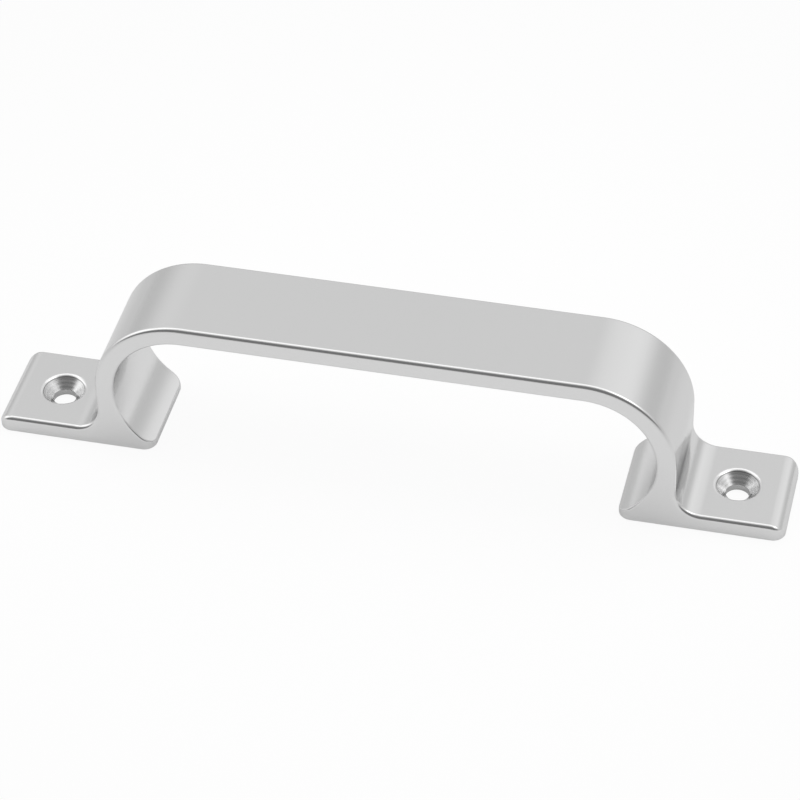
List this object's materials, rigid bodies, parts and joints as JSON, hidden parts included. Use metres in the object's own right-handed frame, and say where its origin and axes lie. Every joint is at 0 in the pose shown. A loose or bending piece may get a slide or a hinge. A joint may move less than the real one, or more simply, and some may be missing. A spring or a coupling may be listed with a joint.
{
  "type": "door pull handle",
  "caption": "One-piece aluminium pull handle: flat bar on round-cornered legs, with an outward foot and a short inner toe at each end and a countersunk screw hole in each foot.",
  "frame": {"origin": "middle of the handle on its base plane, halfway between the two screw holes", "axes": "+X along the bar from one screw hole to the other, +Y across the strip's width, +Z from the door towards the bar"},
  "size_m": [0.185, 0.025, 0.038],
  "materials": {
    "aluminium": "satin, natural anodised"
  },
  "bodies": {
    "root": {"pull_handle": "aluminium"}
  },
  "joints": []
}
